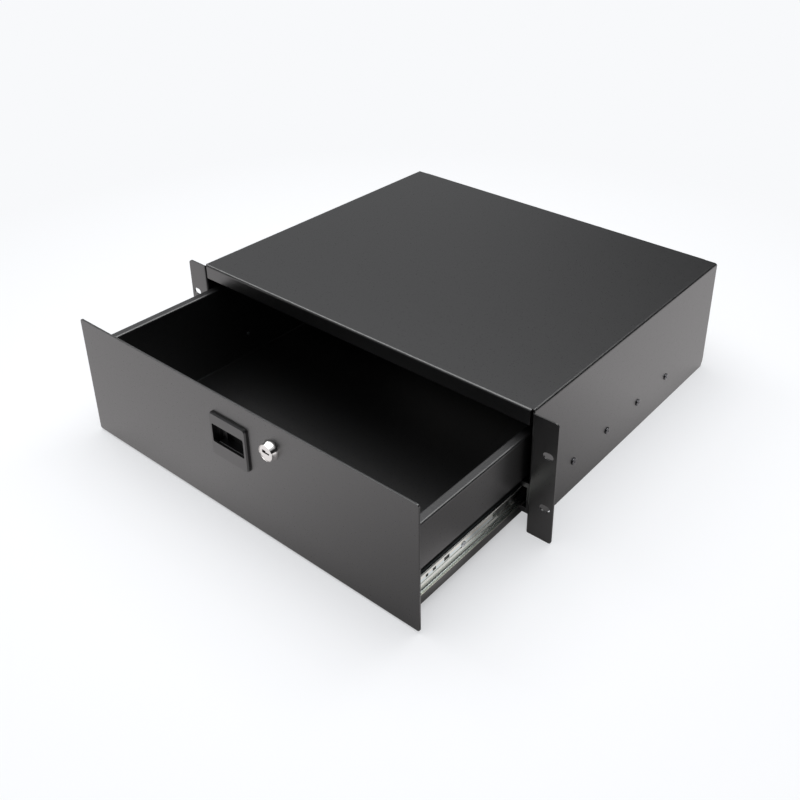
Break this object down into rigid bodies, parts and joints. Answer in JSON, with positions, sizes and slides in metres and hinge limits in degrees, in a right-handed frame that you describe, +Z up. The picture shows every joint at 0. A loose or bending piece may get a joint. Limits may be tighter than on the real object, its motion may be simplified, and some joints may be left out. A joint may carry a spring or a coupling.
{
  "type": "sliding rack drawer",
  "caption": "Steel drawer on ball slides in a rack-mount case, with slotted ears, a finger latch and a key lock in the front.",
  "frame": {"origin": "centre of the rack ear slot pattern, on the front face of the ears", "axes": "+X right seen from the front, +Y into the rack, +Z up"},
  "size_m": [0.4826, 0.5181, 0.133],
  "materials": {
    "black_powder_coat": "fine-textured satin black powder coat",
    "slide_steel": "bright zinc-plated rolled steel",
    "bearing_steel": "polished bearing steel",
    "zinc_hardware": "zinc-plated hardware",
    "black_screws": "black zinc screws",
    "latch_plastic": "moulded black nylon",
    "spring_steel": "drawn spring wire",
    "lock_chrome": "polished chrome",
    "black_rubber": "matt black rubber"
  },
  "bodies": {
    "case": {"case_shell": "black_powder_coat", "case_rear_panel": "black_powder_coat", "left_case_slide": "slide_steel", "right_case_slide": "slide_steel", "left_slide_cap": "latch_plastic", "right_slide_cap": "latch_plastic", "left_slide_bumper": "black_rubber", "right_slide_bumper": "black_rubber", "case_slide_screws": "black_screws"},
    "left_cage": {"left_ball_cage": "slide_steel", "left_slide_balls": "bearing_steel"},
    "right_cage": {"right_ball_cage": "slide_steel", "right_slide_balls": "bearing_steel"},
    "drawer": {"drawer_tray": "black_powder_coat", "tray_front_wall": "black_powder_coat", "tray_rear_wall": "black_powder_coat", "drawer_front": "black_powder_coat", "front_studs": "zinc_hardware", "front_nuts": "zinc_hardware", "left_drawer_slide": "slide_steel", "right_drawer_slide": "slide_steel", "drawer_slide_screws": "zinc_hardware", "latch_housing": "latch_plastic", "latch_cover": "latch_plastic", "latch_spring": "spring_steel", "lock_body": "lock_chrome", "lock_nut": "zinc_hardware"},
    "latch_slider": {"latch_bolt": "latch_plastic"},
    "lock_barrel": {"lock_plug": "lock_chrome", "lock_cam": "zinc_hardware", "lock_cam_screw": "zinc_hardware"}
  },
  "joints": [
    {"name": "drawer_slide", "type": "slide", "parent": "case", "child": "drawer", "axis": [0, -1, 0], "range_m": [-0.1475, 0.1195]},
    {"name": "left_cage_roll", "type": "slide", "parent": "case", "child": "left_cage", "axis": [0, -1, 0], "range_m": [-0.07375, 0.05975]},
    {"name": "right_cage_roll", "type": "slide", "parent": "case", "child": "right_cage", "axis": [0, -1, 0], "range_m": [-0.07375, 0.05975]},
    {"name": "latch_slide", "type": "slide", "parent": "drawer", "child": "latch_slider", "axis": [0, 0, 1], "range_m": [-0.008, 0], "stiffness_N_per_m": 400, "springref_m": 0.004, "deforming": ["latch_spring"]},
    {"name": "lock_turn", "type": "hinge", "parent": "drawer", "child": "lock_barrel", "pos_m": [0.0526, -0.1475, 0.03835], "axis": [0, -1, 0], "range_deg": [0, 90]}
  ],
  "couplings": [
    {"joint": "left_cage_roll", "follows": "drawer_slide", "ratio": 0.5},
    {"joint": "right_cage_roll", "follows": "drawer_slide", "ratio": 0.5}
  ]
}
